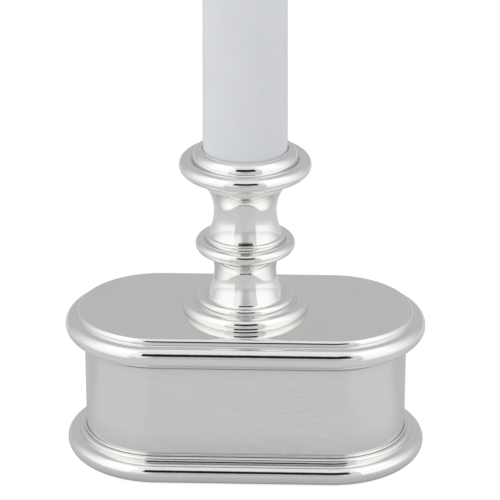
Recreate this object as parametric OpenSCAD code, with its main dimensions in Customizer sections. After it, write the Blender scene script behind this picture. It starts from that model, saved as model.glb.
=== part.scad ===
// Low altar candlestick: a stadium-plan moulded plinth, a turned stem clamped
// on it by one tie rod, a drip pan with a lift-out nozzle, and one candle.
// +Z is up, +X runs along the plinth, the front faces -Y, and the origin is
// the middle of the resting face. All sizes are in millimetres.

/* [Plinth] */
// Half the length of the straight middle of the plinth
straight_half = 39.8; // [30:0.1:60]
// Outside radius of the plinth wall's rounded ends
wall_r = 34.6; // [34.2:0.1:34.8]
// Thickness of the sheet the plinth wall is bent from
wall_t = 1.2; // [0.8:0.1:1.6]
// Height of the polished top surface above the table
plate_z = 72.0; // [64:0.5:90]
// Thickness of the top plate
plate_t = 1.2; // [0.8:0.1:1.6]
// Thickness of the baize pad glued under the base
baize_t = 1.0; // [0.6:0.1:1.0]
// Radius of the cornice's main round
cornice_rad = 5.0; // [4.6:0.1:5.2]
// Radius of the rounded edge of the top plate
lip_rad = 2.4; // [2.2:0.1:2.6]
// Radius of the foot moulding's main round
foot_rad = 4.7; // [4.6:0.05:4.8]
// Radius of the small bead above the foot moulding
foot_bead_rad = 1.4; // [1.2:0.1:1.5]

/* [Stem] */
// Radius of the scotia of the lower neck
lower_cove = 15.0; // [14:0.1:18]
// Radius of the hollow of the lower neck, below its throat
lower_sweep = 20.0; // [18:0.5:21]
// Radius of the lower neck at its throat
lower_throat = 14.2; // [13.6:0.1:15]
// Radius of the scotia of the upper neck
upper_cove = 21.5; // [21:0.1:22.5]
// Radius of the hollow of the upper neck, below its throat
upper_sweep = 25.0; // [24:0.5:27]
// Radius of the upper neck at its throat
upper_throat = 14.2; // [13.8:0.05:14.6]
// Outside radius of the knop
knop_r = 22.7; // [21.5:0.1:24]
// Outside radius of the stem's own foot ring
stem_foot_r = 29.1; // [28.5:0.1:30]
// Radius of the bore through the necks
neck_bore = 12.7; // [12.2:0.1:13]

/* [Pan and nozzle] */
// Outside radius of the drip pan's rim
pan_r = 29.9; // [29:0.1:31]
// Bore radius of the nozzle that takes the candle
socket_r = 19.4; // [19.3:0.05:19.5]
// Outside radius of the nozzle's rolled rim
nozzle_rim_r = 23.9; // [23.4:0.1:24.2]
// Radial running clearance of the nozzle in the drip pan
nozzle_play = 0.08; // [0.04:0.01:0.1]

/* [Candle] */
// Radius of the candle at its foot
candle_r = 19.2; // [18.8:0.05:19.25]
// Radius lost over the candle's length, the draft of its mould
candle_draft = 0.8; // [0:0.1:1]
// Length of the wax body
candle_len = 152.4; // [60:0.1:300]

/* [Fixings] */
// Nominal radius of the tie rod
rod_r = 3.0; // [2.5:0.1:3]
// Height of the cast weight inside the plinth
weight_h = 24; // [10:1:30]

/* [Hidden] */
$fn = 96;

// Endings: _z height, _z0 underside, _z1 top, _t thickness; _c and _cz are the
// distance from the axis and the height of a round's centre, _rad its radius.
// On the plinth, distances are taken from its long axis.
eps = 0.01;                  // overlap of joined or cut faces
over = 1;                    // run of a cutter past a face
inset = 0.02;                // a flat stops this far inside the round it meets
film = 0.05;                 // solder or paint film left between faces

// Plinth shell
base_t = 1.5;                // steel closing plate
base_z1 = baize_t + base_t;
base_edge = wall_r + 2.1;
wall_in = wall_r - wall_t;
wall_face = wall_r + film;   // where the mouldings meet the wall
ledge_z0 = base_z1 + film;   // ledge of the foot moulding
ledge_z1 = ledge_z0 + 1.3;
foot_c = wall_r + 4.1;
foot_cz = baize_t + 4.37;
foot_bead_c = foot_c - 2.4;
foot_bead_cz = foot_cz + 5.43;
cornice_c = wall_r + 3.6;
cornice_cz = plate_z - 8.04;
lip_c = cornice_c - 2.9;
lip_cz = plate_z - lip_rad;
seat_z = plate_z - 3.1;      // where the top plate rests on the cornice
band_z1 = seat_z - 1.3;      // top of the wall, under the cornice's flange
back_t = 3.0;
back_z0 = plate_z - plate_t - back_t;
post_x = straight_half + 22;
post_y = 16;
stub_r = 2;                  // pin on top of each pillar

// Stem
stem_foot_rad = 3.4;
stem_foot_c = stem_foot_r - stem_foot_rad;
stem_foot_cz = plate_z + 1.8;
stem_bead_rad = 2.2;
stem_bead_c = 20.3;
stem_bead_cz = plate_z + 5.5;
lower_z0 = stem_bead_cz + 1.4;   // the lower neck stands inside the bead
lower_throat_z = plate_z + 19.4;
knop_rad = 2.8;
knop_c = knop_r - knop_rad;
knop_cz = plate_z + 31.95;
knop_z0 = knop_cz - 2.45;
knop_z1 = knop_cz + 5.35;
upper_throat_z = plate_z + 48.3;
upper_z1 = plate_z + 61.5;
neck_top_r = upper_throat + upper_cove - sqrt(pow(upper_cove, 2) - pow(upper_z1 - upper_throat_z, 2));
sleeve_r = 6.0;
sleeve_hole = sleeve_r + 0.1;

// Pan, nozzle and candle
pan_rad = 3.56;
pan_c = pan_r - pan_rad;
pan_cz = plate_z + 70.5;
pan_seat = plate_z + 73.1;       // flat the nozzle's rim rests over
web_z0 = plate_z + 64.5;         // floor of the pan's well
web_z1 = web_z0 + 0.8;
hub_z0 = upper_z1 - 4.1;
nut_floor = hub_z0 + 1.6;
nozzle_out = socket_r + 1.2;     // outside radius of the nozzle's tube
well_r = nozzle_out + nozzle_play;
nozzle_z0 = web_z1 + 0.1;
nozzle_floor = nozzle_z0 + 0.8;
rim_rad = 4.5;
rim_c = nozzle_rim_r - rim_rad;
rim_cz = plate_z + 74.2;
candle_z0 = nozzle_floor + film;
candle_z1 = candle_z0 + candle_len;   // nominal top, under the wax cone
wick_r = 1.0;
wick_z0 = candle_z1 - 10;

// Fixings
rod_clear = rod_r + 0.3;         // rod hole in the turned parts and the top plate
rod_hole = rod_r + 0.2;          // rod hole in the washers and the backing plate
nut_flats = 10;
bottom_washer_t = 1.6;
lock_washer_t = 1.5;
bottom_nut_t = 5;
top_washer_t = 1.0;
bottom_washer_z = back_z0 - bottom_washer_t;
lock_washer_z = bottom_washer_z - lock_washer_t;
post_screw_d = 3;
post_screw_head = 6;
weight_screw_d = 4;
weight_screw_head = 6.6;
weight_screw_x = 24;
screw_z = baize_t + 0.03;        // heads sit just inside the base plate
screw_clear = 0.15;              // radial room of a screw in the base plate
thread_clear = 0.05;             // radial room of a screw in its threaded hole

// Runs a section round the stadium plan: x is the distance from the plinth's
// long axis and y is the height.
module run_round() {
    for (side = [0, 1]) mirror([side, 0, 0])
        translate([straight_half, 0, 0])
            rotate([0, 0, -90]) rotate_extrude(angle = 180) children();
    for (side = [0, 1]) mirror([0, side, 0])
        rotate([0, 0, -90]) rotate([90, 0, 0])
            linear_extrude(height = 2 * straight_half, center = true) children();
}

// Flat helpers for sections, drawn like those of run_round().
module rect(x0, x1, y0, y1) {
    translate([x0, y0]) square([x1 - x0, y1 - y0]);
}

module disc(x, y, rad) {
    translate([x, y]) circle(r = rad);
}

// The part of a disc that lies between two heights.
module disc_slice(x, y, rad, y0, y1) {
    intersection() {
        disc(x, y, rad);
        rect(0, 80, y0, y1);
    }
}

module at_posts() {
    for (x = [-1, 1], y = [-1, 1]) translate([x * post_x, y * post_y, 0]) children();
}

module at_weight_screws() {
    for (x = [-1, 1]) translate([x * weight_screw_x, 0, 0]) children();
}

// A slotted countersunk screw standing head down on its own axis.
module countersunk(shank, head, len, slot) {
    tip = 0.4;
    slot_depth = 0.6;
    difference() {
        union() {
            cylinder(r1 = head / 2, r2 = shank / 2, h = (head - shank) / 2);
            cylinder(r = shank / 2, h = len - tip);
            translate([0, 0, len - tip]) cylinder(r1 = shank / 2, r2 = shank / 2 - tip, h = tip);
        }
        translate([-head, -slot / 2, -eps]) cube([2 * head, slot, slot_depth]);
    }
}

// Cutter for a countersunk hole in the base plate.
module base_hole(shank, head) {
    hole_r = shank / 2 + screw_clear;
    translate([0, 0, baize_t - eps])
        cylinder(r1 = head / 2 + screw_clear, r2 = hole_r, h = (head - shank) / 2 + eps);
    cylinder(r = hole_r, h = 8);
}

module flat_washer(r_out, z0, t) {
    translate([0, 0, z0]) difference() {
        cylinder(r = r_out, h = t);
        translate([0, 0, -over]) cylinder(r = rod_hole, h = t + 2 * over);
    }
}

// A hexagon nut with its corners turned off at both faces.
module hex_nut(z0, t) {
    face_r = nut_flats / 2 - 0.1;
    middle_r = face_r + 0.6 * t;
    translate([0, 0, z0]) difference() {
        intersection() {
            cylinder(r = nut_flats / sqrt(3), h = t, $fn = 6);
            union() {
                cylinder(r1 = face_r, r2 = middle_r, h = t / 2);
                translate([0, 0, t / 2 - eps])
                    cylinder(r1 = middle_r, r2 = face_r, h = t / 2 + eps);
            }
        }
        translate([0, 0, -over]) cylinder(r = rod_r + 0.02, h = t + 2 * over);
    }
}

module baize_pad() {
    hole_r = 3.4;
    color([0.16, 0.30, 0.20]) difference() {
        run_round() rect(0, wall_r + 2.6, 0, baize_t);
        at_posts() translate([0, 0, -over]) cylinder(r = hole_r, h = baize_t + 2 * over);
    }
}

module base_plate() {
    color([0.56, 0.57, 0.58]) difference() {
        run_round() rect(0, base_edge, baize_t, base_z1);
        at_posts() base_hole(post_screw_d, post_screw_head);
        at_weight_screws() base_hole(weight_screw_d, weight_screw_head);
    }
}

module base_screws() {
    color([0.70, 0.70, 0.71]) at_posts() translate([0, 0, screw_z])
        countersunk(post_screw_d, post_screw_head, len = 12, slot = 0.8);
}

module ballast_screws() {
    color([0.62, 0.62, 0.63]) at_weight_screws() translate([0, 0, screw_z])
        countersunk(weight_screw_d, weight_screw_head, len = 15, slot = 1.0);
}

module ballast_weight() {
    weight_z1 = base_z1 + weight_h;
    // distance from the long axis, height
    section = [
        [0, base_z1], [21.7, base_z1], [22.7, base_z1 + 1.2],
        [21.8, weight_z1 - 1.5], [20.4, weight_z1], [0, weight_z1]
    ];
    color([0.20, 0.20, 0.21]) difference() {
        run_round() polygon(section);
        at_weight_screws() translate([0, 0, base_z1 - eps])
            cylinder(r = weight_screw_d / 2 + thread_clear, h = 16);
    }
}

module foot_moulding() {
    top_bead_rad = 0.6;
    top_bead_cz = foot_bead_cz + 1.8;
    color([0.80, 0.80, 0.79]) run_round() difference() {
        union() {
            disc(foot_c, foot_cz, foot_rad);
            disc(foot_bead_c, foot_bead_cz, foot_bead_rad);
            disc(wall_r + top_bead_rad, top_bead_cz, top_bead_rad);
            rect(wall_face, foot_bead_c + foot_bead_rad - inset, foot_cz - 2, foot_bead_cz);
            rect(wall_face, wall_r + 0.7, foot_bead_cz, top_bead_cz);
            rect(wall_in - 2, foot_c, ledge_z0, ledge_z1);
        }
        // below the foot, the rebate for the base plate, and the wall's room
        rect(0, foot_c + 20, -10, baize_t);
        rect(0, base_edge + 0.1, -10, ledge_z0);
        rect(0, wall_face, ledge_z1, 40);
    }
}

// The plinth wall, with its seam open at the middle of the back.
module body_band() {
    seam = 0.12;
    color([0.74, 0.74, 0.73]) difference() {
        run_round() rect(wall_in, wall_r, ledge_z1, band_z1);
        translate([-seam / 2, 0, 0]) cube([seam, 60, plate_z]);
    }
}

// Strip inside the wall behind the seam, its two inner upright edges bevelled.
module seam_strap() {
    strap_half = 8;
    strap_t = 1.2;
    cutter = 2;
    color([0.72, 0.60, 0.34]) difference() {
        translate([-strap_half, wall_in - film - strap_t, ledge_z1 + 3])
            cube([2 * strap_half, strap_t, seat_z - ledge_z1 - 8]);
        for (x = [-1, 1])
            translate([x * (strap_half + 1), wall_in - 1.6, 0]) rotate([0, 0, x * 45])
                translate([-cutter / 2, -cutter / 2, 0]) cube([cutter, cutter, plate_z]);
    }
}

module cornice_moulding() {
    strip_face = wall_r + 0.45;   // flat strip under the main round
    strip_z0 = plate_z - 15.7;
    color([0.82, 0.82, 0.81]) run_round() difference() {
        union() {
            disc(cornice_c, cornice_cz, cornice_rad);
            disc(strip_face, cornice_cz - 4.1, 0.7);
            rect(wall_face, cornice_c, cornice_cz - 2, cornice_cz + 2);
            rect(wall_face, strip_face, strip_z0, cornice_cz - 4);
            rect(wall_in - 1.4, lip_c + lip_rad - 0.1, band_z1, seat_z);
        }
        rect(0, wall_face, 0, band_z1);
        rect(0, wall_r + 20, seat_z, seat_z + 20);
    }
}

// The flat top with a turned-down rim: the upper half of a round over a band.
module top_plate() {
    color([0.72, 0.72, 0.71]) difference() {
        run_round() union() {
            difference() {
                disc(lip_c, lip_cz, lip_rad);
                rect(0, lip_c + 10, seat_z - 10, lip_cz);
            }
            rect(lip_c - 2.2, lip_c + lip_rad, seat_z + 0.02, lip_cz);
            rect(0, lip_c, plate_z - plate_t, plate_z);
        }
        translate([0, 0, plate_z - 5]) cylinder(r = rod_clear, h = 10);
    }
}

module backing_plate() {
    cut_z = back_z0 - over;
    cut_h = back_t + 2 * over;
    color([0.55, 0.56, 0.58]) difference() {
        run_round() rect(0, wall_in - 2.0, back_z0, back_z0 + back_t - film);
        translate([0, 0, cut_z]) cylinder(r = rod_hole, h = cut_h);
        at_posts() translate([0, 0, cut_z]) cylinder(r = stub_r + 0.05, h = cut_h);
    }
}

module pillars() {
    pillar_r = 4;
    color([0.70, 0.58, 0.32]) at_posts() difference() {
        union() {
            translate([0, 0, base_z1]) cylinder(r = pillar_r, h = back_z0 - base_z1);
            translate([0, 0, back_z0 - eps]) cylinder(r = stub_r, h = back_t - 0.3);
        }
        translate([0, 0, base_z1 - eps])
            cylinder(r = post_screw_d / 2 + thread_clear, h = 14);
    }
}

module stem_foot() {
    recess_in = sleeve_r + 3;
    recess_z1 = plate_z + 3;
    color([0.83, 0.83, 0.82]) rotate_extrude() difference() {
        union() {
            disc(stem_foot_c, stem_foot_cz, stem_foot_rad);
            disc(stem_bead_c, stem_bead_cz, stem_bead_rad);
            rect(sleeve_hole, stem_bead_c + stem_bead_rad - inset, plate_z, stem_bead_cz);
            rect(sleeve_hole, stem_foot_c, plate_z, plate_z + 4.3);
            rect(sleeve_hole, stem_bead_c, stem_bead_cz - 1, lower_z0);
        }
        rect(0, 60, plate_z - 20, plate_z);
        rect(0, sleeve_hole, plate_z - over, plate_z + 20);
        // ring-shaped recess in the underside
        polygon([[recess_in, plate_z - over], [19.5, plate_z - over],
            [17.5, recess_z1], [recess_in, recess_z1]]);
    }
}

// A scotia above the throat; below it a bell: a hollow, a leaning straight and
// a small curve at the foot. The straight is tangent to both curves.
module lower_neck() {
    lean = 22.5;
    curl_rad = 2.4;               // small curve at the foot
    bell_r = lower_throat + lower_sweep - lower_sweep * cos(lean);
    bell_z = lower_throat_z - lower_sweep * sin(lean);
    curl_cz = lower_z0 + 1.9;
    touch_z = curl_cz - curl_rad * sin(lean);
    touch_r = bell_r + (bell_z - touch_z) * tan(lean);
    curl_c = touch_r + curl_rad * cos(lean);
    stand_off = 0.03;             // the straight cut stays this far outside the tangent
    cut_z0 = touch_z - 0.1;
    cut_r = 24;
    color([0.80, 0.80, 0.79]) rotate_extrude() difference() {
        rect(neck_bore, 22, lower_z0, knop_z0);
        disc_slice(lower_throat + lower_cove, lower_throat_z, lower_cove,
            lower_throat_z - 3, knop_z0 + 5);
        disc_slice(lower_throat + 0.02 + lower_sweep, lower_throat_z, lower_sweep,
            bell_z - 1.5, lower_throat_z);
        polygon([[bell_r + stand_off, bell_z], [touch_r + stand_off, touch_z],
            [touch_r + 0.3, cut_z0], [cut_r, cut_z0], [cut_r, bell_z]]);
        disc(curl_c, curl_cz, curl_rad);
        rect(curl_c, cut_r, lower_z0 - over, bell_z);
    }
}

module knop_ring() {
    bead_rad = 1.2;               // small bead on top of the knop
    bead_r = 18.15;
    bead_c = bead_r - bead_rad;
    bead_cz = knop_z1 - bead_rad;
    color([0.83, 0.83, 0.82]) rotate_extrude() difference() {
        union() {
            disc(knop_c, knop_cz, knop_rad);
            disc(bead_c, bead_cz, bead_rad);
            rect(sleeve_hole, bead_r - inset, knop_cz, bead_cz);
            rect(sleeve_hole, bead_c, knop_z0, knop_z1);
            rect(sleeve_hole, knop_c - 1.3, knop_z0, knop_cz);
        }
        rect(0, sleeve_hole, knop_z0 - over, knop_z1 + over);
    }
}

module upper_neck() {
    color([0.80, 0.80, 0.79]) rotate_extrude() difference() {
        rect(neck_bore, 20, knop_z1, upper_z1);
        disc_slice(upper_throat + upper_cove, upper_throat_z, upper_cove,
            upper_throat_z - 3, upper_z1 + 5);
        disc_slice(upper_throat + 0.01 + upper_sweep, upper_throat_z, upper_sweep,
            knop_z1 - 5, upper_throat_z);
    }
}

module core_sleeve() {
    sleeve_h = hub_z0 - plate_z;
    color([0.60, 0.61, 0.62]) difference() {
        translate([0, 0, plate_z]) cylinder(r = sleeve_r, h = sleeve_h);
        translate([0, 0, plate_z - over]) cylinder(r = rod_clear, h = sleeve_h + 2 * over);
    }
}

module drip_pan() {
    hub_r = 11.5;
    nut_pocket_r = 8.2;
    seat_r = pan_c - 2.45;        // where the seat meets the rim's round
    cut_z1 = pan_seat + 20;
    color([0.83, 0.83, 0.82]) rotate_extrude() difference() {
        union() {
            disc(pan_c, pan_cz, pan_rad);
            rect(rod_clear, well_r + 1.2, web_z0, pan_seat);
            rect(rod_clear, seat_r, pan_cz, pan_seat);
            rect(well_r, pan_c, pan_cz - 2.6, pan_cz);
            // ring standing on the upper neck
            rect(neck_top_r - 1.4, neck_top_r + 0.15, upper_z1, web_z0 + 0.4);
            rect(rod_clear, hub_r, hub_z0, web_z1);
        }
        rect(0, well_r, web_z1, cut_z1);
        rect(0, nut_pocket_r, nut_floor, cut_z1);
        rect(0, seat_r, pan_seat, cut_z1);
    }
}

module tie_rod() {
    rod_z0 = back_z0 - 12;
    rod_z1 = nut_floor + 5.0;
    tip = 0.5;                    // chamfer at both ends
    color([0.62, 0.62, 0.63]) {
        translate([0, 0, rod_z0 + tip]) cylinder(r = rod_r, h = rod_z1 - rod_z0 - 2 * tip);
        translate([0, 0, rod_z0]) cylinder(r1 = rod_r - tip, r2 = rod_r, h = tip + eps);
        translate([0, 0, rod_z1 - tip - eps])
            cylinder(r1 = rod_r, r2 = rod_r - tip, h = tip + eps);
    }
}

module bottom_washer() {
    color([0.70, 0.70, 0.71]) flat_washer(9, bottom_washer_z, bottom_washer_t);
}

// Split washer, its slanting gap on the +X side.
module lock_washer() {
    gap = 0.8;
    color([0.45, 0.46, 0.48]) difference() {
        flat_washer(5.9, lock_washer_z, lock_washer_t);
        translate([0, -gap / 2, lock_washer_z - 0.9]) rotate([0, -25, 0])
            translate([0, 0, -2]) cube([9, gap, 8]);
    }
}

module bottom_nut() {
    color([0.68, 0.68, 0.69]) hex_nut(lock_washer_z - bottom_nut_t, bottom_nut_t);
}

module top_washer() {
    color([0.70, 0.70, 0.71]) flat_washer(6.4, nut_floor, top_washer_t);
}

module top_nut() {
    color([0.76, 0.62, 0.34]) hex_nut(nut_floor + top_washer_t, 3.2);
}

module nozzle() {
    rim_z0 = pan_seat + film;
    color([0.83, 0.83, 0.82]) rotate_extrude() difference() {
        union() {
            disc(rim_c, rim_cz, rim_rad);
            rect(socket_r, nozzle_rim_r - inset, rim_z0, rim_cz);
            rect(0, nozzle_out, nozzle_z0, rim_cz);
        }
        rect(0, socket_r, nozzle_floor, rim_cz + 10);
        // bevel round the bottom edge
        polygon([[nozzle_out - 0.8, nozzle_z0 - eps],
            [well_r + 1, nozzle_z0 - eps], [well_r + 1, nozzle_z0 + 1.8]]);
        rect(nozzle_out, 60, 0, rim_z0);
    }
}

module candle() {
    top_r = candle_r - candle_draft;
    // radius, height
    section = [
        [0, candle_z0], [candle_r - 0.6, candle_z0], [candle_r, candle_z0 + 0.6],
        [top_r, candle_z1 - 3], [top_r - 0.8, candle_z1 - 1.2],
        [top_r - 2.6, candle_z1 - 0.2], [0, candle_z1 + 1.2]
    ];
    color([0.93, 0.93, 0.91]) rotate_extrude() difference() {
        polygon(section);
        rect(0, wick_r + 0.1, wick_z0, candle_z1 + 5);
    }
}

module wick() {
    wick_len = 18;
    color([0.90, 0.87, 0.78]) {
        translate([0, 0, wick_z0]) cylinder(r = wick_r, h = wick_len);
        translate([0, 0, wick_z0 + wick_len - eps])
            cylinder(r1 = wick_r, r2 = 0.7, h = 0.6 + eps);
    }
}

baize_pad();
base_plate();
base_screws();
ballast_weight();
ballast_screws();
foot_moulding();
body_band();
seam_strap();
cornice_moulding();
top_plate();
backing_plate();
pillars();
stem_foot();
lower_neck();
knop_ring();
upper_neck();
core_sleeve();
drip_pan();
tie_rod();
bottom_washer();
lock_washer();
bottom_nut();
top_washer();
top_nut();
nozzle();
candle();
wick();
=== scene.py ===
"""Looks of the low altar candlestick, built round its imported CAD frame.

The plinth is a stadium in plan, long along X, standing on z = 0 with its front towards -Y.
Stem, drip pan, nozzle and candle are turned round the Z axis. Lengths are in millimetres
until a mesh is made; the materials and the stage work in metres.
"""
import math

import bmesh
import bpy
import numpy as np
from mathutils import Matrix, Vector


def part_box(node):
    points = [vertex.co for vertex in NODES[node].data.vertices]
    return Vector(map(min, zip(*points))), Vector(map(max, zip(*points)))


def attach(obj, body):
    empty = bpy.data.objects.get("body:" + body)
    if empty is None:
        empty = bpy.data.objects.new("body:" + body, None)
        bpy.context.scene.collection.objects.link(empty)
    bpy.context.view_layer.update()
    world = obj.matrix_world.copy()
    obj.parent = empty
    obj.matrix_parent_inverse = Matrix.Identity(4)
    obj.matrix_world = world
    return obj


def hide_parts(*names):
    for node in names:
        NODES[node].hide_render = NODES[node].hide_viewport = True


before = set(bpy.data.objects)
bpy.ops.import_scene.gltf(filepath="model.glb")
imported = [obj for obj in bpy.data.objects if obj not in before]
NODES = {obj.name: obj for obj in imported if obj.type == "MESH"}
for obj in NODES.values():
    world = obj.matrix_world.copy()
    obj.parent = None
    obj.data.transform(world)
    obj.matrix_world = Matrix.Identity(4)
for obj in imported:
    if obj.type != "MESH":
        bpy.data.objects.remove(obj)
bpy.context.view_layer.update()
MM = 0.001


# ------------------------------------------------------------------ sizes
def box_mm(node):
    low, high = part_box(node)
    return np.array(low) * 1000.0, np.array(high) * 1000.0


# (low corner, high corner) of the CAD pieces that drive the sizes
BOX = {node: box_mm(node) for node in (
    "body_band", "foot_moulding", "cornice_moulding", "top_plate", "stem_foot", "lower_neck",
    "knop_ring", "upper_neck", "drip_pan", "nozzle", "candle", "wick", "baize_pad")}

WALL_R = BOX["body_band"][1][1]               # radius of the wall's round ends
HALF = BOX["body_band"][1][0] - WALL_R        # half the straight part of the plan
WALL_IN = WALL_R - 1.2
BAIZE_TOP = BOX["baize_pad"][1][2]
PLATE_Z = BOX["top_plate"][1][2]              # upper face of the top plate
PLATE_EDGE = BOX["top_plate"][1][1]
SEAT_Z = PLATE_Z - 3.1                        # where the top plate rests on the cornice
FILM = 0.05                                   # gap between touching pieces
FACE_R = WALL_R + FILM                        # inside face of the two mouldings

CENTRE_HOLE_R = 3.3
STEM_BORE = 6.1
NECK_BORE = 12.7
THROAT_R = 14.2                               # both necks at their narrowest
UPPER_WAIST_Z = PLATE_Z + 48.3
UPPER_SWEEP = 21.5                            # radius of the upper neck above its waist
PAN_SEAT_Z = PLATE_Z + 73.1
NOZZLE_BORE = 19.4
NOZZLE_R = NOZZLE_BORE + 1.2


# ------------------------------------------------------- section outlines
def ring(angles):
    """Unit vectors at the given angles in radians."""
    return np.stack([np.cos(angles), np.sin(angles)], 1)


def unit(v):
    return v / np.hypot(*v)


def rise(height, r):
    """Angle in degrees at which a circle of radius r has climbed to a height."""
    return math.degrees(math.asin(height / r))


def reach(width, r):
    """Angle in degrees at which a circle of radius r has come in to a width."""
    return math.degrees(math.acos(width / r))


class Section:
    """A closed outline in (distance out, height), kept as runs of (points, normals)."""

    def __init__(self, start=None):
        self.runs = []
        self.start = self.end = start

    def line(self, *points, parts=1):
        """Straights from the last point through the given ones. Empty steps are skipped."""
        for point in points:
            p, q = np.array(self.end, float), np.array(point, float)
            self.end = q
            d = q - p
            if np.hypot(*d) < 1e-6:
                continue
            normal = unit(np.array([d[1], -d[0]]))
            t = np.linspace(0, 1, parts + 1)[:, None]
            self.runs.append((p + d * t, np.repeat(normal[None], parts + 1, 0)))

    def arc(self, centre, r, start, stop, step=5.0, hollow=False):
        """An arc between two angles in degrees, joined to the last point by a straight."""
        count = max(2, int(math.ceil(abs(stop - start) / step)))
        spokes = ring(np.radians(np.linspace(start, stop, count + 1)))
        points = np.array(centre) + spokes * r
        if self.end is None:
            self.start = points[0]
        else:
            self.line(points[0])
        self.runs.append((points, -spokes if hollow else spokes))
        self.end = points[-1]

    def loop(self):
        """Closes the outline: its points, and for each edge the normals at its two ends."""
        self.line(self.start)
        points = np.concatenate([p[:-1] for p, _ in self.runs])
        first = np.concatenate([n[:-1] for _, n in self.runs])
        second = np.concatenate([n[1:] for _, n in self.runs])
        return points, first, second


def rounded(corners, r, step):
    """An anticlockwise outline of convex corners, each eased by radius r."""
    corners = [np.array(c, float) for c in corners]
    section = Section()
    for i, corner in enumerate(corners):
        back = unit(corners[i - 1] - corner)
        ahead = unit(corners[(i + 1) % len(corners)] - corner)
        half = math.acos(float(back @ ahead)) / 2
        centre = corner + unit(back + ahead) * (r / math.sin(half))
        cut = r / math.tan(half)
        first = corner + back * cut - centre
        last = corner + ahead * cut - centre
        start = math.degrees(math.atan2(first[1], first[0]))
        stop = math.degrees(math.atan2(last[1], last[0]))
        if stop < start:
            stop += 360
        section.arc(centre, r, start, stop, step=step)
    return section


# ------------------------------------------------------- paths and sweeping
def stadium_path(seam=None, end_parts=112, side_parts=6):
    """Stations round the plan: base points and outward directions.

    A seam leaves a gap of that half width in the middle of the back.
    """
    if seam is None:
        back = np.linspace(HALF, -HALF, side_parts + 1)[:-1]
        tail = []
    else:
        back = np.linspace(-seam, -HALF, side_parts // 2 + 1)[:-1]
        tail = np.linspace(HALF, seam, side_parts // 2 + 1)
    stations = [(x, 90.0) for x in back]
    stations += [(-HALF, a) for a in np.linspace(90, 270, end_parts + 1)[:-1]]
    stations += [(x, 270.0) for x in np.linspace(-HALF, HALF, side_parts + 1)[:-1]]
    stations += [(HALF, a) for a in np.linspace(270, 450, end_parts + 1)[:-1]]
    stations += [(x, 90.0) for x in tail]
    base = np.array([(x, 0.0) for x, _ in stations])
    return base, ring(np.radians([a for _, a in stations]))


def circle_path(count=224):
    return np.zeros((count, 2)), ring(np.linspace(0, 2 * math.pi, count + 1)[:-1])


def link_mesh(name, me):
    for poly in me.polygons:
        poly.use_smooth = True
    ob = bpy.data.objects.new(name, me)
    bpy.context.scene.collection.objects.link(ob)
    return ob


def sweep(name, section, path, closed=True, hole_r=None):
    """Runs a section round a path with exact normals.

    Points no further in than hole_r are laid on a round hole instead of the path.
    Points on the axis become one shared vertex each.
    """
    points, first, second = section.loop()
    base, out = path
    stations, count = len(base), len(points)
    plan = base[:, None, :] + out[:, None, :] * points[None, :, 0, None]
    if hole_r is not None:
        rim = base + out * 30.0
        around = ring(np.arctan2(rim[:, 1], rim[:, 0]))
        inner = points[:, 0] <= hole_r + 1e-6
        plan[:, inner, :] = around[:, None, :] * points[None, inner, 0, None]
    z = np.broadcast_to(points[None, :, 1, None], (stations, count, 1))
    verts = np.concatenate([plan, z], 2).reshape(-1, 3)
    pole = points[:, 0] < 1e-9

    def turned(j, n):
        return (out[j, 0] * n[0], out[j, 1] * n[0], n[1])

    faces, normals = [], []
    for j in range(stations if closed else stations - 1):
        after = (j + 1) % stations
        for i in range(count):
            i2 = (i + 1) % count
            if pole[i] and pole[i2]:
                continue
            corners = [(j, i, first[i]), (after, i, first[i]),
                       (after, i2, second[i]), (j, i2, second[i])]
            if pole[i]:
                del corners[1]
            elif pole[i2]:
                del corners[2]
            faces.append(tuple(q if pole[q] else k * count + q for k, q, _ in corners))
            normals += [turned(k, n) for k, _, n in corners]
    if not closed:
        faces.append(tuple(range(count)))
        faces.append(tuple((stations - 1) * count + i for i in reversed(range(count))))
        cap = np.array([out[0, 1], -out[0, 0], 0.0])
        normals += [tuple(cap)] * count + [tuple(-cap)] * count
    used = sorted({v for face in faces for v in face})
    renumber = {v: k for k, v in enumerate(used)}
    faces = [tuple(renumber[v] for v in face) for face in faces]
    me = bpy.data.meshes.new(name)
    me.from_pydata((verts[used] * MM).tolist(), [], faces)
    ob = link_mesh(name, me)
    me.normals_split_custom_set([Vector(n).normalized() for n in normals])
    return ob


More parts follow.
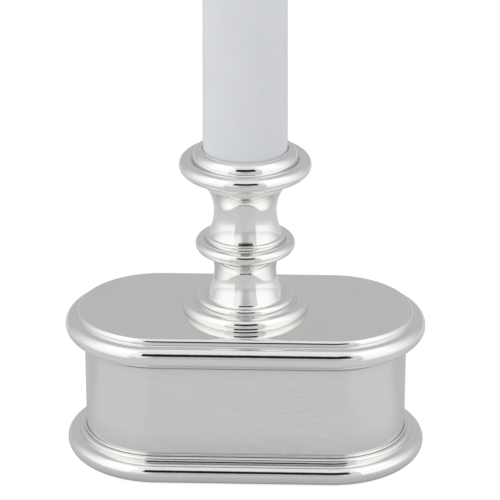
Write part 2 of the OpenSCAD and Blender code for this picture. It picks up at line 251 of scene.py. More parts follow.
# ---------------------------------------------------------- material tools
class Tree:
    """Short calls for building the node tree of a material or a world."""

    def __init__(self, owner):
        self.owner = owner
        owner.use_nodes = True
        self.nt = owner.node_tree
        self.nt.nodes.clear()

    def node(self, kind, inputs=None, **props):
        """A node with its properties set and each input linked or given a value."""
        node = self.nt.nodes.new(kind)
        for key, value in props.items():
            setattr(node, key, value)
        for key, value in (inputs or {}).items():
            socket = node.inputs[key]
            if hasattr(value, "is_output"):
                self.nt.links.new(value, socket)
            elif socket.type == "RGBA":
                socket.default_value = (*value, 1.0)
            else:
                socket.default_value = value
        return node

    def math(self, op, *values, clamp=False):
        return self.node("ShaderNodeMath", dict(enumerate(values)),
                         operation=op, use_clamp=clamp).outputs[0]

    def chain(self, op, first, *rest):
        for value in rest:
            first = self.math(op, first, value)
        return first

    def add(self, *values):
        return self.chain("ADD", *values)

    def mul(self, *values):
        return self.chain("MULTIPLY", *values)

    def ramp(self, value, over, to=(0.0, 1.0), curve="LINEAR"):
        """Carries the range `over` to the range `to`, held at both ends."""
        return self.node("ShaderNodeMapRange", {
            "Value": value, "From Min": over[0], "From Max": over[1],
            "To Min": to[0], "To Max": to[1]}, interpolation_type=curve).outputs["Result"]

    def ease(self, value, over, to=(0.0, 1.0)):
        return self.ramp(value, over, to, "SMOOTHSTEP")

    def mix(self, factor, a, b):
        return self.node("ShaderNodeMix", {0: factor, 2: a, 3: b}, data_type="FLOAT").outputs[0]

    def mix_colour(self, factor, a, b):
        return self.node("ShaderNodeMix", {0: factor, 6: a, 7: b}, data_type="RGBA").outputs[2]

    def noise(self, place, scale, detail, rough, distortion=0.0):
        return self.node("ShaderNodeTexNoise", {
            "Vector": place, "Scale": scale, "Detail": detail, "Roughness": rough,
            "Distortion": distortion}).outputs["Fac"]

    def mapping(self, place, scale, turn=(0, 0, 0), shift=(0, 0, 0)):
        return self.node("ShaderNodeMapping", {
            "Vector": place, "Scale": scale, "Rotation": turn, "Location": shift}).outputs[0]

    def coords(self, kind="Object"):
        return self.node("ShaderNodeTexCoord").outputs[kind]

    def split(self, vector):
        return self.node("ShaderNodeSeparateXYZ", {"Vector": vector}).outputs

    def hollows(self, distance, samples):
        return self.node("ShaderNodeAmbientOcclusion", {"Distance": distance},
                         samples=samples).outputs["AO"]

    def bump(self, height, depth, under=None):
        inputs = {"Height": height, "Distance": depth, "Strength": 1.0}
        if under is not None:
            inputs["Normal"] = under
        return self.node("ShaderNodeBump", inputs).outputs["Normal"]

    def bearing(self, x, y):
        """Degrees round from the camera's side of the object, growing towards +X."""
        angle = self.math("ARCTAN2", x, self.mul(y, -1.0))
        return self.math("SUBTRACT", self.mul(angle, DEGREES), CAM_BEARING)

    def camera_ray(self):
        return self.node("ShaderNodeLightPath").outputs["Is Camera Ray"]

    def out(self, shader):
        world = isinstance(self.owner, bpy.types.World)
        self.node("ShaderNodeOutputWorld" if world else "ShaderNodeOutputMaterial",
                  {"Surface": shader})
        return self.owner

    def surface(self, inputs):
        return self.out(self.node("ShaderNodeBsdfPrincipled", inputs).outputs[0])


def material_tree(name):
    return Tree(bpy.data.materials.new(name))


def scaled(colour, factor):
    return tuple(c * factor for c in colour)


CAM_BEARING = 1.92      # camera's place round the object, in degrees from -Y towards +X
DEGREES = 57.29578      # degrees in a radian
SILVER_TINT = (0.925, 0.922, 0.912)
MOTTLE = (0.3, 0.7)     # the part of a noise's range that is put to use

# hairline families: rotation, stretch, and the noise level above which a line shows
HAIRLINES = (
    ((0.0, 0.0, 0.35), (26.0, 2300.0, 2300.0), 0.705),
    ((0.3, 0.2, 1.9), (30.0, 2600.0, 2600.0), 0.715),
    ((-0.4, 0.5, 2.7), (22.0, 2100.0, 2100.0), 0.72),
)
# painted dark lines on the cornice strip, standing in for shade and a dark reflection: height,
# half width (metres), strength
STRIP_SHADE_LINES = ((0.05795, 0.00036, 0.42), (0.05640, 0.00034, 0.46))


# -------------------------------------------------------------- materials
def clouded_colour(t, place, cloud):
    return t.mix_colour(t.ease(cloud, over=(0.35, 0.7)), scaled(SILVER_TINT, 0.985), SILVER_TINT)


def figure_and_shade_colour(t, place, cloud):
    """Level contour lines drawn round slow eddies, strongest on the flat front and back, with
    painted shade under the cornice and at the foot.
    """
    x, _, z = t.split(place)
    eddy = t.noise(t.mapping(place, scale=(15.0, 15.0, 46.0), shift=(0.3, 0, 0.1)),
                   scale=1.0, detail=1.0, rough=0.35, distortion=0.25)
    eddy_phase, level_phase = 118.0, 700.0      # how closely the lines are packed
    wave = t.math("SINE", t.math("MULTIPLY_ADD", eddy, eddy_phase, t.mul(z, level_phase)))
    flat = t.ease(t.math("ABSOLUTE", x), over=(0.034, 0.052), to=(1.0, 0.3))
    patch = t.noise(t.mapping(place, scale=(17.0, 17.0, 30.0)), scale=1.0, detail=2.0, rough=0.5)
    patch = t.ease(patch, over=(0.30, 0.55), to=(0.35, 1.0))
    grain = t.noise(t.mapping(place, scale=(60.0, 60.0, 1900.0)), scale=1.0, detail=2.0, rough=0.5)
    figure = t.add(t.mul(wave, patch, flat), t.ramp(grain, over=MOTTLE, to=(-0.35, 0.35)))
    share = t.math("MULTIPLY_ADD", figure, 0.5, 0.5, clamp=True)    # from -1..1 to 0..1
    base = t.mix_colour(share, scaled(SILVER_TINT, 0.962), SILVER_TINT)
    # painted shade: darker right under the cornice and down at the foot
    painted_shade = t.add(t.ease(z, over=(0.0505, 0.0600), to=(0.0, 0.13)),
                 t.ease(z, over=(0.016, 0.026), to=(0.03, 0.0)),
                 t.ease(z, over=(0.0552, 0.0563), to=(0.0, 0.22)))
    return t.mix_colour(painted_shade, base, (0.10, 0.10, 0.095))


def strip_shade_colour(t, place, cloud):
    """Clouded silver with painted shade on the flat strip under the cornice and painted dark lines
    along its edges, weaker out on the round ends.
    """
    base = clouded_colour(t, place, cloud)
    x, _, z = t.split(place)
    # painted shade on the strip under the cornice, plus painted dark lines (shade and dark
    # reflection) at its edges
    band = t.mul(t.ease(z, over=(0.0560, 0.0561)),
                 t.ease(z, over=(0.0578, 0.0582), to=(0.40, 0.0)))
    for height, width, amount in STRIP_SHADE_LINES:
        off = t.math("ABSOLUTE", t.math("SUBTRACT", z, height))
        band = t.add(band, t.ease(off, over=(width * 0.3, width), to=(amount, 0.0)))
    band = t.mul(band, t.ease(t.math("ABSOLUTE", x), over=(0.056, 0.074), to=(1.0, 0.35)))
    return t.mix_colour(t.mul(band, t.ramp(cloud, over=MOTTLE, to=(0.8, 1.1))), base,
                        (0.12, 0.115, 0.105))


def silver(name, rough, scratch, wave, colour=clouded_colour):
    """Polished silver plate: faint ripple, buffing hairlines, clouding and painted shade in the
    creases.
    """
    t = material_tree(name)
    place = t.coords()
    cloud = t.noise(place, scale=38.0, detail=3.0, rough=0.55)
    fine = t.noise(place, scale=900.0, detail=4.0, rough=0.6)
    ripple = t.noise(place, scale=95.0, detail=1.0, rough=0.4)
    lumps = t.noise(place, scale=430.0, detail=1.0, rough=0.4)
    pits = t.noise(place, scale=2600.0, detail=1.0, rough=0.5)

    families = []
    for turn, stretch, edge in HAIRLINES:
        streaks = t.noise(t.mapping(place, scale=stretch, turn=turn),
                          scale=1.0, detail=1.0, rough=0.4)
        families.append(t.ease(streaks, over=(edge, edge + 0.05)))
    lines = t.mul(t.chain("MAXIMUM", *families), t.ease(cloud, over=(0.42, 0.62)))

    line_rough, line_depth = 0.18 * scratch, 0.6 * scratch
    roughness = t.add(rough, t.ramp(cloud, over=MOTTLE, to=(-0.012, 0.02)),
                      t.mul(lines, line_rough),
                      t.ramp(fine, over=(0.35, 0.7), to=(-0.006, 0.012)))
    least_rough = 0.02

    crease = 0.14       # how far the painted crease shade darkens the colour
    # painted shade: an AO mask darkens the colour in creases and hollows
    crease_shade = t.mul(t.ease(t.hollows(distance=0.0018, samples=6), over=(0.18, 0.72), to=(1.0, 0.0)),
                 crease)
    base = t.mix_colour(crease_shade, colour(t, place, cloud), (0.16, 0.15, 0.13))

    n = t.bump(t.mul(ripple, wave), depth=0.000030)
    n = t.bump(lumps, depth=0.000022 * wave, under=n)
    n = t.bump(t.math("SUBTRACT", fine, t.mul(lines, line_depth)), depth=0.0000012, under=n)
    n = t.bump(pits, depth=0.0000006, under=n)
    return t.surface({"Base Color": base, "Metallic": 1.0, "Normal": n,
                      "Roughness": t.math("MAXIMUM", roughness, least_rough)})


def wax(name):
    t = material_tree(name)
    place = t.coords()
    cloud = t.noise(place, scale=55.0, detail=3.0, rough=0.55)
    fine = t.noise(place, scale=1500.0, detail=3.0, rough=0.6)
    drag = t.noise(t.mapping(place, scale=(700.0, 700.0, 18.0)), scale=1.0, detail=2.0, rough=0.5)
    base = t.mix_colour(t.ease(cloud, over=MOTTLE), (0.700, 0.716, 0.745), (0.722, 0.736, 0.762))
    mean_rough = 0.46
    roughness = t.add(mean_rough, t.ramp(fine, over=MOTTLE, to=(-0.04, 0.05)))
    n = t.bump(fine, depth=0.000012)
    n = t.bump(drag, depth=0.000010, under=n)
    n = t.bump(cloud, depth=0.00012, under=n)
    return t.surface({
        "Base Color": base, "Roughness": roughness, "Normal": n, "IOR": 1.43,
        "Specular IOR Level": 0.35, "Subsurface Weight": 0.22,
        "Subsurface Radius": (1.0, 0.85, 0.7), "Subsurface Scale": 0.004})


def felt(name):
    dark, light = (0.012, 0.045, 0.022), (0.035, 0.10, 0.052)
    t = material_tree(name)
    place = t.coords()
    fuzz = t.noise(place, scale=2600.0, detail=4.0, rough=0.7, distortion=1.5)
    fibre = t.noise(t.mapping(place, scale=(900.0, 3600.0, 900.0), turn=(0, 0, 0.7)),
                    scale=1.0, detail=3.0, rough=0.7, distortion=2.0)
    patch = t.noise(place, scale=90.0, detail=3.0, rough=0.6)
    fuzz_share, fibre_share = 0.6, 0.4
    nap = t.math("MULTIPLY_ADD", fuzz, fuzz_share, t.mul(fibre, fibre_share))
    base = t.mix_colour(t.ease(nap, over=(0.35, 0.66)), dark, light)
    base = t.mix_colour(t.ease(patch, over=(0.35, 0.75), to=(0.0, 0.35)), base, scaled(light, 1.6))
    return t.surface({
        "Base Color": base, "Roughness": 0.95, "Normal": t.bump(nap, depth=0.0005),
        "Sheen Weight": 0.6, "Sheen Roughness": 0.4, "Sheen Tint": (0.5, 0.7, 0.55)})


def metal(name, low, high, rough, scale=300.0, depth=0.00002, spots=0.3, metallic=1.0,
          spot_colour=(0.1, 0.08, 0.05)):
    """Unpolished metal: mottled colour between low and high, uneven roughness, small spots."""
    t = material_tree(name)
    place = t.coords()
    mottle = t.noise(place, scale=scale, detail=5.0, rough=0.62, distortion=0.4)
    cloud = t.noise(place, scale=scale * 0.18, detail=3.0, rough=0.55)
    specks = t.ease(t.noise(place, scale=scale * 2.2, detail=3.0, rough=0.7), over=(0.6, 0.72))
    base = t.mix_colour(t.ease(mottle, over=(0.32, 0.68)), low, high)
    base = t.mix_colour(t.mul(specks, spots), base, spot_colour)
    roughness = t.add(rough, t.ramp(cloud, over=MOTTLE, to=(-0.09, 0.12)))
    return t.surface({"Base Color": base, "Metallic": metallic, "Roughness": roughness,
                      "Normal": t.bump(mottle, depth=depth)})


def cotton(name):
    t = material_tree(name)
    place = t.coords()
    yarn = t.node("ShaderNodeTexWave", {
        "Vector": t.mapping(place, scale=(1, 1, 1), turn=(0.5, 0.4, 0)), "Scale": 900.0,
        "Distortion": 2.0, "Detail": 2.0}).outputs["Fac"]
    fuzz = t.noise(place, scale=4000.0, detail=3.0, rough=0.6)
    base = t.mix_colour(t.ease(t.mul(yarn, fuzz), over=(0.1, 0.6)),
                        (0.62, 0.58, 0.48), (0.9, 0.88, 0.8))
    return t.surface({"Base Color": base, "Roughness": 0.9, "Sheen Weight": 0.3,
                      "Normal": t.bump(t.add(yarn, fuzz), depth=0.0001)})


TURNED = silver("silver_turned", rough=0.05, scratch=0.3, wave=1.0)
MOULDED = silver("silver_moulded", rough=0.05, scratch=0.3, wave=1.1)
CORNICE = silver("silver_cornice", rough=0.05, scratch=0.3, wave=1.1, colour=strip_shade_colour)
WALL = silver("silver_wall", rough=0.10, scratch=0.35, wave=0.5, colour=figure_and_shade_colour)
TOP = silver("silver_top", rough=0.06, scratch=0.8, wave=0.25)
WAX = wax("candle_wax")
FELT = felt("baize")
ZINC = metal("zinc_steel", low=(0.42, 0.43, 0.44), high=(0.62, 0.63, 0.64), rough=0.38)
BRASS = metal("raw_brass", low=(0.50, 0.36, 0.13), high=(0.72, 0.54, 0.24), rough=0.36)
IRON = metal("cast_weight", low=(0.035, 0.036, 0.038), high=(0.085, 0.086, 0.09), rough=0.62,
             scale=420.0, depth=0.0004, spots=0.35, metallic=0.6, spot_colour=(0.14, 0.06, 0.03))
COTTON = cotton("wick_cotton")


def paint(ob, material):
    ob.data.materials.clear()
    ob.data.materials.append(material)


def dress(ob, node, material=TURNED, body="stick"):
    """Paints a piece and tells the frame what it rides on and which node it replaces."""
    paint(ob, material)
    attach(ob, body)
    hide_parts(node)


# ------------------------------------------------------------------ plinth
def foot_moulding():
    """A big roll at the foot, a bead over it and a small roll against the wall."""
    high = BOX["foot_moulding"][1]
    big_r, big_h, bead_r, small_r = 4.7, 4.37, 1.4, 0.6
    big = (high[1] - big_r, BAIZE_TOP + big_h)
    bead = (big[0] - 2.4, big[1] + 5.43)
    small = (WALL_R + 0.6, bead[1] + 1.8)
    bead_face, small_face = bead[0] + bead_r, WALL_R + 0.7
    ledge_in, ledge_out = WALL_IN - 2.0, WALL_R + 2.2
    ledge_z = BAIZE_TOP + 1.5 + FILM
    ledge_top = ledge_z + 1.3
    s = Section((ledge_out, BAIZE_TOP))
    s.arc(big, big_r, -rise(big_h, big_r), 180 - reach(big[0] - bead_face, big_r))
    s.arc(bead, bead_r, 0, 180 - reach(bead[0] - small_face, bead_r), step=7.5)
    s.arc(small, small_r, -reach(small_face - small[0], small_r),
          180 - reach(small[0] - FACE_R, small_r), step=12)
    s.line((FACE_R, ledge_top), (ledge_in, ledge_top), (ledge_in, ledge_z), (ledge_out, ledge_z))
    dress(sweep("foot_moulding_polished", s, stadium_path()), "foot_moulding", MOULDED)


def wall():
    low, high = BOX["body_band"]
    s = rounded([(WALL_IN, low[2]), (WALL_R, low[2]), (WALL_R, high[2]), (WALL_IN, high[2])],
                r=0.12, step=30)
    dress(sweep("wall_polished", s, stadium_path(seam=0.06), closed=False),
          "body_band", WALL)


def cornice():
    """A small roll and a big one that meet in a crease, over a flat strip round the wall."""
    high = BOX["cornice_moulding"][1]
    big_r, small_r, edge_r, solder_r = 5.0, 0.7, 0.15, 0.6
    big = (high[1] - big_r, PLATE_Z - 8.04)
    strip_r, strip_z = WALL_R + 0.45, PLATE_Z - 15.7
    small = (strip_r, big[1] - 4.1)
    # the triangle of the two centres and the crease gives the angles where the rolls meet
    d = np.array(big) - np.array(small)
    span = np.hypot(*d)
    at_small = math.acos((small_r ** 2 + span ** 2 - big_r ** 2) / (2 * small_r * span))
    at_big = math.acos((big_r ** 2 + span ** 2 - small_r ** 2) / (2 * big_r * span))
    slope = math.degrees(math.atan2(d[1], d[0]))
    s = Section()
    s.arc(small, small_r, -90.0, slope - math.degrees(at_small), step=12)
    s.arc(big, big_r, slope + 180 + math.degrees(at_big), 360 + rise(SEAT_Z - big[1], big_r))
    # a run of solder in the corner behind the top plate's edge
    solder_x = PLATE_EDGE + 0.02
    s.arc((solder_x + solder_r, SEAT_Z + solder_r), solder_r, 270, 180, step=9, hollow=True)
    flange_in, flange_z = WALL_IN - 1.4, SEAT_Z - 1.3
    s.line((solder_x, SEAT_Z), (flange_in, SEAT_Z), (flange_in, flange_z), (FACE_R, flange_z),
           (FACE_R, strip_z))
    s.arc((strip_r - edge_r, strip_z + edge_r), edge_r, -90, 0, step=30)
    dress(sweep("cornice_polished", s, stadium_path()), "cornice_moulding", CORNICE)


def top_plate():
    """A sheet with a rounded, turned-down lip and a round hole in the middle."""
    lip_r, sheet = 2.4, 1.2
    lip = (PLATE_EDGE - lip_r, PLATE_Z - lip_r)
    lip_in, bottom = lip[0] - 2.2, SEAT_Z + 0.02
    s = Section((lip_in, bottom))
    s.line((PLATE_EDGE, bottom))
    s.arc(lip, lip_r, 0, 90, step=4)
    s.line((CENTRE_HOLE_R, PLATE_Z), (CENTRE_HOLE_R, PLATE_Z - sheet))
    s.arc(lip, lip_r, 150, 180, step=10)
    s.line((lip_in, lip[1]))
    dress(sweep("top_plate_polished", s, stadium_path(), hole_r=CENTRE_HOLE_R),
          "top_plate", TOP)


# -------------------------------------------------------------------- stem
def stem_foot():
    """Two rolls with a step and a small hollow corner between them."""
    top = BOX["lower_neck"][0][2]
    wide_r, wide_h, upper_r, corner_r = 3.4, 1.8, 2.2, 0.25
    wide = (BOX["stem_foot"][1][0] - wide_r, PLATE_Z + wide_h)
    upper = (20.3, PLATE_Z + 5.5)
    upper_face, step_z = upper[0] + upper_r, PLATE_Z + 4.3
    s = Section((19.5, PLATE_Z))
    s.arc(wide, wide_r, -rise(wide_h, wide_r), 180 - rise(step_z - wide[1], wide_r), step=4)
    s.arc((upper_face + corner_r, step_z + corner_r), corner_r, 270, 180, step=18, hollow=True)
    s.arc(upper, upper_r, 0, 180 - rise(top - upper[1], upper_r), step=5)
    s.line((STEM_BORE, top), (STEM_BORE, PLATE_Z), (9.0, PLATE_Z), (9.0, PLATE_Z + 3),
           (17.5, PLATE_Z + 3))
    dress(sweep("stem_foot_polished", s, circle_path()), "stem_foot")


def neck(name, node, arcs):
    """A hollow-sided neck. arcs: (centre, radius, first angle, last angle) going up it."""
    low, high = BOX[node]
    s = Section()
    for centre, r, start, stop in arcs:
        s.arc(centre, r, start, stop, step=1.5 if r > 10 else 4, hollow=True)
    s.line((NECK_BORE, high[2]), (NECK_BORE, low[2]))
    dress(sweep(name, s, circle_path()), node)


def lower_neck():
    """A small hollow at the foot, a straight leaning in, then the sweep through the throat."""
    low, high = BOX["lower_neck"]
    waist_z = PLATE_Z + 19.4
    below_r, above_r, foot_r, lean = 20.0, 15.0, 2.4, 22.5
    tilt = math.radians(lean)
    sweep_foot = (THROAT_R + below_r - below_r * math.cos(tilt),
                  waist_z - below_r * math.sin(tilt))
    foot_z = low[2] + 1.9
    touch_z = foot_z - foot_r * math.sin(tilt)
    touch_x = sweep_foot[0] + (sweep_foot[1] - touch_z) * math.tan(tilt)
    foot = (touch_x + foot_r * math.cos(tilt), foot_z)
    neck("lower_neck_polished", "lower_neck", [
        (foot, foot_r, 180 + rise(foot_z - low[2], foot_r), 180 + lean),
        ((THROAT_R + below_r, waist_z), below_r, 180 + lean, 180),
        ((THROAT_R + above_r, waist_z), above_r, 180, 180 - rise(high[2] - waist_z, above_r))])


def upper_neck():
    low, high = BOX["upper_neck"]
    below_r = 25.0
    neck("upper_neck_polished", "upper_neck", [
        ((THROAT_R + below_r, UPPER_WAIST_Z), below_r,
         180 + rise(UPPER_WAIST_Z - low[2], below_r), 180),
        ((THROAT_R + UPPER_SWEEP, UPPER_WAIST_Z), UPPER_SWEEP,
         180, 180 - rise(high[2] - UPPER_WAIST_Z, UPPER_SWEEP))])


def knop():
    """A roll with a round-edged collar standing on it."""
    roll_r, roll_h, collar_r, edge_r = 2.8, 2.45, 18.15, 1.2
    roll = (BOX["knop_ring"][1][0] - roll_r, PLATE_Z + 31.95)
    bottom, top = roll[1] - roll_h, roll[1] + 5.35
    s = Section((STEM_BORE, bottom))
    s.arc(roll, roll_r, 180 + rise(roll_h, roll_r), 540 - reach(roll[0] - collar_r, roll_r),
          step=4)
    s.arc((collar_r - edge_r, top - edge_r), edge_r, 0, 90, step=6)
    s.line((STEM_BORE, top))
    dress(sweep("knop_polished", s, circle_path()), "knop_ring")


# ---------------------------------------------------------- pan and nozzle
def drip_pan():
    """A rolled rim round a well for the nozzle, with a hub below and a skirt over the neck."""
    rim_r, rim_h, sheet = 3.56, 2.6, 1.2
    low, high = BOX["drip_pan"]
    rim = (high[0] - rim_r, PLATE_Z + 70.5)
    web_z = PLATE_Z + 64.5
    well_r = NOZZLE_R + 0.08
    well_out, well_z = well_r + sheet, web_z + 0.8
    hub_in, hub_out, hub_z = 8.2, 11.5, low[2]
    hub_floor = hub_z + 1.6
    neck_top_z = BOX["upper_neck"][1][2]
    neck_top_r = (THROAT_R + UPPER_SWEEP
                  - math.sqrt(UPPER_SWEEP ** 2 - (neck_top_z - UPPER_WAIST_Z) ** 2))
    skirt_r = neck_top_r + 0.15
    skirt_in = skirt_r - 1.55
    s = Section()
    s.arc(rim, rim_r, 180 + rise(rim_h, rim_r), 540 - rise(rim_h, rim_r), step=4)
    s.line((well_r, PAN_SEAT_Z), (well_r, well_z), (hub_in, well_z), (hub_in, hub_floor),
           (CENTRE_HOLE_R, hub_floor), (CENTRE_HOLE_R, hub_z), (hub_out, hub_z),
           (hub_out, web_z), (skirt_in, web_z), (skirt_in, neck_top_z), (skirt_r, neck_top_z),
           (skirt_r, web_z), (well_out, web_z), (well_out, rim[1] - rim_h))
    dress(sweep("drip_pan_polished", s, circle_path()), "drip_pan")


def nozzle():
    """A cup with a wide rounded rim that sits on the pan."""
    low, high = BOX["nozzle"]
    rim_r, lip_r, lip_angle, bevel = 4.5, 0.3, 84, 0.1
    rim = (high[0] - rim_r, high[2] - rim_r)
    bottom, under_rim = low[2], PAN_SEAT_Z + FILM
    s = Section((0, bottom))
    s.line((19.8, bottom), (NOZZLE_R, bottom + 1.8), (NOZZLE_R, under_rim),
           (high[0] - bevel, under_rim), (high[0], under_rim + bevel))
    s.arc(rim, rim_r, 0, lip_angle, step=3)
    lip_z = s.end[1] - lip_r * math.sin(math.radians(lip_angle)) + 0.02
    s.arc((NOZZLE_BORE + lip_r, lip_z), lip_r, lip_angle, 180, step=12)
    s.line((NOZZLE_BORE, bottom + 0.8), (0, bottom + 0.8))
    dress(sweep("nozzle_polished", s, circle_path()), "nozzle", body="nozzle_body")


# ------------------------------------------------------------------ candle
def candle():
    """A slightly tapered candle with a rounded shoulder and a low domed tip."""
    low, high = BOX["candle"]
    bottom, top = low[2], high[2]
    bottom_r, top_r = high[0], high[0] - 0.8
    edge_r, shoulder_r = 0.6, 3.0
    shoulder_z = top - 1.2 - shoulder_r
    s = Section((0, bottom))
    s.arc((bottom_r - edge_r, bottom + edge_r), edge_r, -90, 0, step=15)
    s.line((top_r, shoulder_z), parts=40)
    s.arc((top_r - shoulder_r, shoulder_z), shoulder_r, 0, 62, step=6)
    dome_x, dome_z = s.end
    dome_h, dimple, dimple_from = top - dome_z - 0.25, 0.5, 0.86
    for q in np.linspace(0, 1, 15)[1:]:
        sink = dimple * max(0.0, (q - dimple_from) / (1 - dimple_from))
        s.line((dome_x * (1 - q), dome_z + dome_h * (1 - (1 - q) ** 2) - sink))
    dress(sweep("candle_wax_body", s, circle_path(160)), "candle", WAX,
          "candle_body")


def wick_strand(bm, phase, z0, z1, rings=90, sides=8):
    """One strand winding round the wick's middle, leaning to +X and thinning at the top."""
    path_r, strand_r, turns = 0.42, 0.5, 7.0
    loops = []
    for i in range(rings + 1):
        q = i / rings
        a = phase + turns * 2 * math.pi * q
        taper = 1.0 if q < 0.93 else max(0.25, 1 - (q - 0.93) / 0.07 * 0.75)
        lean = 1.8 * max(0.0, q - 0.45) ** 2
        centre = Vector((path_r * taper * math.cos(a) + lean, path_r * taper * math.sin(a),
                         z0 + (z1 - z0) * q))
        loop = []
        for j in range(sides):
            b = 2 * math.pi * j / sides
            spoke = Vector((math.cos(b), math.sin(b), 0)) * strand_r * taper
            loop.append(bm.verts.new((centre + spoke) * MM))
        loops.append(loop)
    for lower, upper in zip(loops[:-1], loops[1:]):
        for j in range(sides):
            k = (j + 1) % sides
            bm.faces.new((lower[j], lower[k], upper[k], upper[j]))
    bm.faces.new(list(reversed(loops[0])))
    bm.faces.new(loops[-1])


def wick():
    """Three strands wound round each other."""
    low, high = BOX["wick"]
    bm = bmesh.new()
    for k in range(3):
        wick_strand(bm, k * 2 * math.pi / 3, low[2], high[2] - 0.02)
    me = bpy.data.meshes.new("wick_plait")
    bm.to_mesh(me)
    bm.free()
    dress(link_mesh("wick_plait", me), "wick", COTTON, "candle_body")


for build in (foot_moulding, wall, cornice, top_plate, stem_foot, lower_neck, upper_neck, knop,
              drip_pan, nozzle, candle, wick):
    build()

# CAD pieces that stay as they are and only take a material
for names, material in (
    (("baize_pad",), FELT),
    (("base_plate", "base_screws", "ballast_screws", "backing_plate", "core_sleeve", "tie_rod",
      "bottom_washer", "lock_washer", "bottom_nut", "top_washer"), ZINC),
    (("pillars", "seam_strap", "top_nut"), BRASS),
    (("ballast_weight",), IRON),
):
    for name in names:
        paint(NODES[name], material)


# ------------------------------------------------------------------- stage
scene = bpy.context.scene


def floor_material():
    """White to the camera with a painted contact shadow round the plinth, greyer in what the
    silver mirrors, clear from below.
    """
    t = material_tree("floor")
    geometry = t.node("ShaderNodeNewGeometry").outputs
    contact_power = 0.9
    near = t.math("POWER", t.hollows(distance=0.05, samples=12), contact_power)
    x, y, _ = t.split(geometry["Position"])
    off = t.math("ABSOLUTE", t.bearing(x, y))
    far = t.math("SQRT", t.add(t.mul(x, x), t.mul(y, y)))
    grey = t.add(t.ease(x, over=(0.070, 0.115), to=(0.585, 0.625)),
                 t.ease(x, over=(-0.080, -0.055), to=(0.030, 0.0)))
    # brighter out to both sides, and one even grey close behind the plinth
    sides = t.mul(t.ease(off, over=(33.0, 39.0)), t.ease(off, over=(72.0, 142.0), to=(1.0, 0.0)))
    side_gain, behind_grey = 0.36, 0.53
    grey = t.math("MULTIPLY_ADD", t.mul(sides, t.ease(far, over=(0.22, 0.75))), side_gain, grey)
    behind = t.mul(t.ease(y, over=(-0.012, 0.035)), t.ease(far, over=(0.16, 0.21), to=(1.0, 0.0)))
    grey = t.mix(behind, grey, behind_grey)
    # painted contact shadow: the AO darkens the floor near the plinth, in what the silver mirrors
    # and as seen
    mirrored = t.mul(grey, t.ramp(near, over=(0.0, 1.0), to=(0.35, 1.0)))
    seen = t.ease(near, over=(0.04, 0.20), to=(0.80, 1.02))
    glow = t.node("ShaderNodeEmission", {
        "Color": (1, 1, 1), "Strength": t.mix(t.camera_ray(), mirrored, seen)}).outputs[0]
    clear = t.node("ShaderNodeBsdfTransparent").outputs[0]
    return t.out(t.node("ShaderNodeMixShader", {
        0: geometry["Backfacing"], 1: glow, 2: clear}).outputs[0])


def floor():
    material = floor_material()
    half, z = 6.0, -0.0001
    me = bpy.data.meshes.new("floor")
    me.from_pydata([(-half, -half, z), (half, -half, z), (half, half, z), (-half, half, z)],
                   [], [(0, 1, 2, 3)])
    me.materials.append(material)
    ob = bpy.data.objects.new("floor", me)
    scene.collection.objects.link(ob)


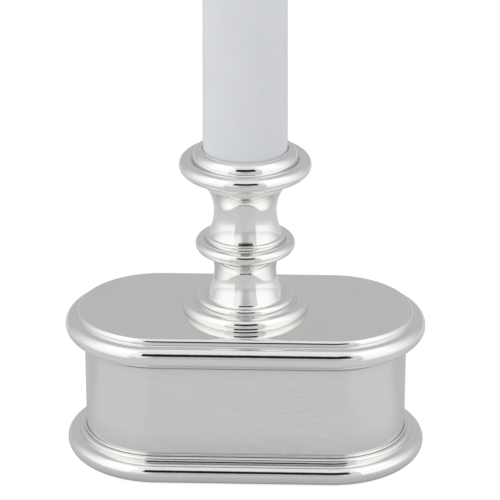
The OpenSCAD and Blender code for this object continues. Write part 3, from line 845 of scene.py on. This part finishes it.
def tent():
    """A grey tent with bright sides and top, and the dark gap the camera looks through."""
    t = Tree(bpy.data.worlds.new("tent"))
    x, y, z = t.split(t.coords("Generated"))
    up = t.mul(t.math("ARCSINE", z), DEGREES)
    turn = t.bearing(x, y)
    off = t.math("ABSOLUTE", turn)
    top_grey, zenith_grey = 0.82, 0.86
    front = t.ease(off, over=(95.0, 140.0), to=(1.0, 0.0))
    grey = t.ramp(t.ease(up, over=(-10.0, 20.0)), over=(0.0, 1.0)) if False else t.mix(
        t.ease(up, over=(-10.0, 20.0)), 0.475, 0.512)
    grey = t.mix(t.mul(t.ease(up, over=(36.0, 62.0)), front), grey, top_grey)
    grey = t.mix(t.ease(up, over=(72.0, 86.0)), grey, zenith_grey)

    side_gain = 0.54
    sides = t.mul(t.ease(off, over=(35.0, 38.0)), t.ease(off, over=(72.0, 142.0), to=(1.0, 0.0)))
    tall = t.mul(t.ease(up, over=(-24.0, 14.0)), t.ease(up, over=(40.0, 84.0), to=(1.0, 0.0)))
    grey = t.math("MULTIPLY_ADD", t.mul(sides, tall), side_gain, grey)

    # paler cloth between the dark gap and the bright sides
    flank = t.mul(t.ease(off, over=(3.0, 22.0)), t.ease(off, over=(35.0, 38.0), to=(1.0, 0.0)))
    tall = t.mul(t.ease(up, over=(-6.0, 14.0)), t.ease(up, over=(44.0, 60.0), to=(1.0, 0.0)))
    flank_gain = t.ease(turn, over=(-20.0, 20.0), to=(0.42, 0.2))
    grey = t.math("MULTIPLY_ADD", t.mul(flank, tall), flank_gain, grey)

    gap_grey, seen_white = 0.012, 1.02
    gap = t.mul(t.ease(turn, over=(-24.0, -20.0)), t.ease(turn, over=(22.0, 27.0), to=(1.0, 0.0)))
    tall = t.mul(t.ease(up, over=(19.5, 26.5)), t.ease(up, over=(46.0, 54.0), to=(1.0, 0.0)))
    grey = t.mix(t.mul(gap, tall), grey, gap_grey)
    grey = t.mix(t.camera_ray(), grey, seen_white)
    scene.world = t.out(t.node("ShaderNodeBackground", {
        "Color": (1, 1, 1), "Strength": grey}).outputs[0])


# square soft lights: name, place, height aimed at on the axis, side (metres), power (watts)
SOFTBOXES = (
    ("soft_left", (-0.9, -0.7, 0.55), 0.12, 0.8, 3.0),
    ("soft_right", (0.9, -0.7, 0.55), 0.12, 0.8, 1.6),
    ("soft_top", (0.0, -0.1, 1.2), 0.1, 1.0, 2.0),
)


def softbox(name, place, aim_z, side, power):
    light = bpy.data.lights.new(name, "AREA")
    light.shape = "RECTANGLE"
    light.size = light.size_y = side
    light.energy = power
    ob = bpy.data.objects.new(name, light)
    ob.location = place
    ob.rotation_mode = "QUATERNION"
    ob.rotation_quaternion = (Vector((0, 0, aim_z)) - Vector(place)).to_track_quat("-Z", "Y")
    ob.visible_glossy = False
    ob.visible_camera = False
    scene.collection.objects.link(ob)


def camera():
    """Looks down from the front, aimed a little off the stem's axis at plate height."""
    elevation, distance = math.radians(24.83), 1.274
    aim_right, aim_up = 0.00169982, 0.02018083      # shift of the aim per unit of distance
    a = math.radians(CAM_BEARING)
    back = Vector((math.sin(a) * math.cos(elevation), -math.cos(a) * math.cos(elevation),
                   math.sin(elevation)))
    data = bpy.data.cameras.new("camera")
    data.sensor_width = 36.0
    data.lens = 199.08
    data.clip_start = 0.05
    data.clip_end = 50.0
    ob = bpy.data.objects.new("camera", data)
    ob.location = Vector((0, 0, PLATE_Z * MM)) + back * distance
    level = (-back).to_track_quat("-Z", "Y")
    right, up = level @ Vector((1, 0, 0)), level @ Vector((0, 1, 0))
    aim = -back + right * aim_right + up * aim_up
    ob.rotation_mode = "QUATERNION"
    ob.rotation_quaternion = aim.to_track_quat("-Z", "Y")
    scene.collection.objects.link(ob)
    scene.camera = ob


floor()
tent()
for row in SOFTBOXES:
    softbox(*row)
camera()

scene.view_settings.view_transform = "Standard"
scene.view_settings.look = "None"
scene.view_settings.exposure = 0.0
scene.view_settings.gamma = 1.0
